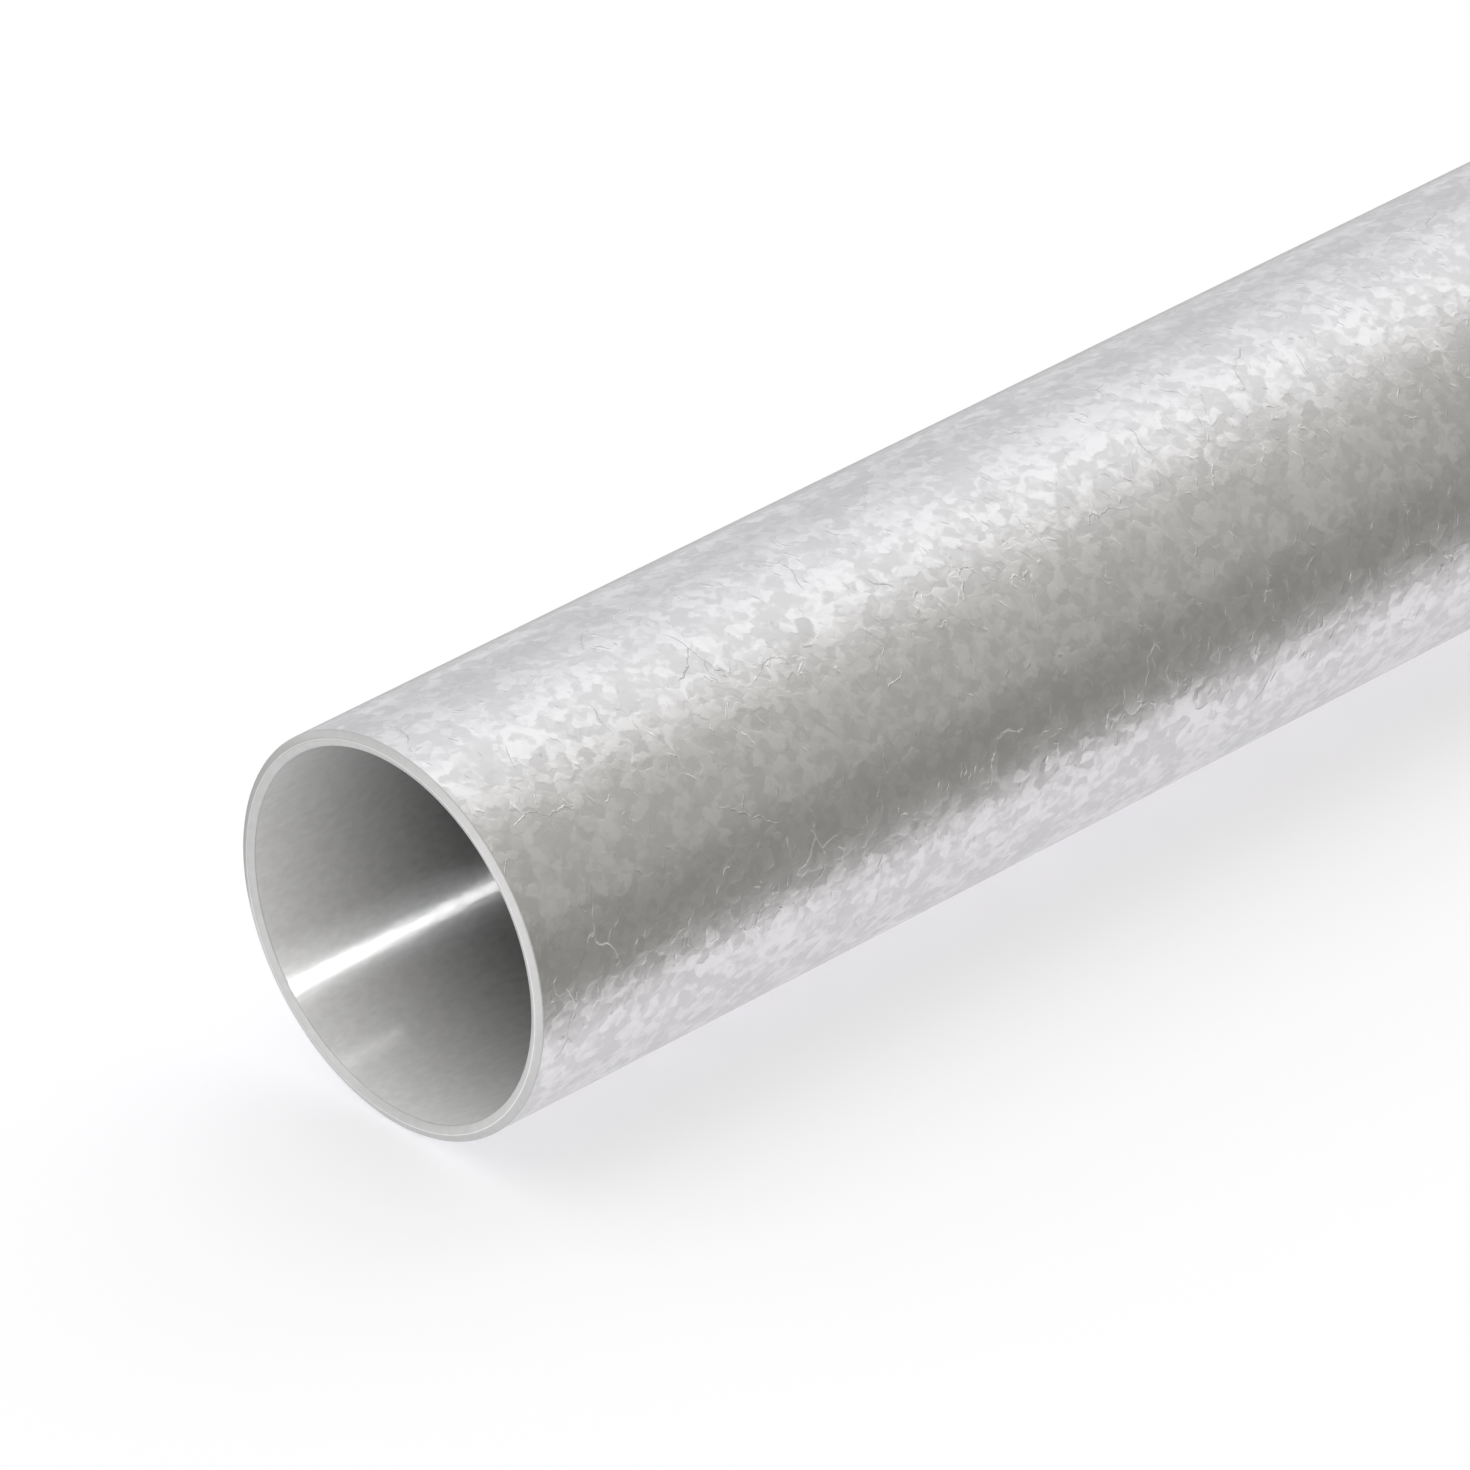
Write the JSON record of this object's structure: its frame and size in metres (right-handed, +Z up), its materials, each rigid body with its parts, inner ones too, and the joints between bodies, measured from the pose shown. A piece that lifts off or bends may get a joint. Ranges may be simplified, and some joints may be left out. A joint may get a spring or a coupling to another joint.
{
  "type": "metal tube",
  "caption": "Straight round galvanised steel tube, open at both ends, thin-walled, with dressed square-cut ends; raw stock for framing, rails, posts and conduit.",
  "frame": {"origin": "on the floor under the middle of the tube", "axes": "+X along the tube's axis, +Z up; the tube lies on its side"},
  "size_m": [1, 0.0398, 0.04],
  "materials": {
    "galvanised_steel": "hot-dip galvanised zinc with a fine mottled spangle, smooth zinc inside the bore"
  },
  "bodies": {
    "root": {"tube": "galvanised_steel"}
  },
  "joints": []
}
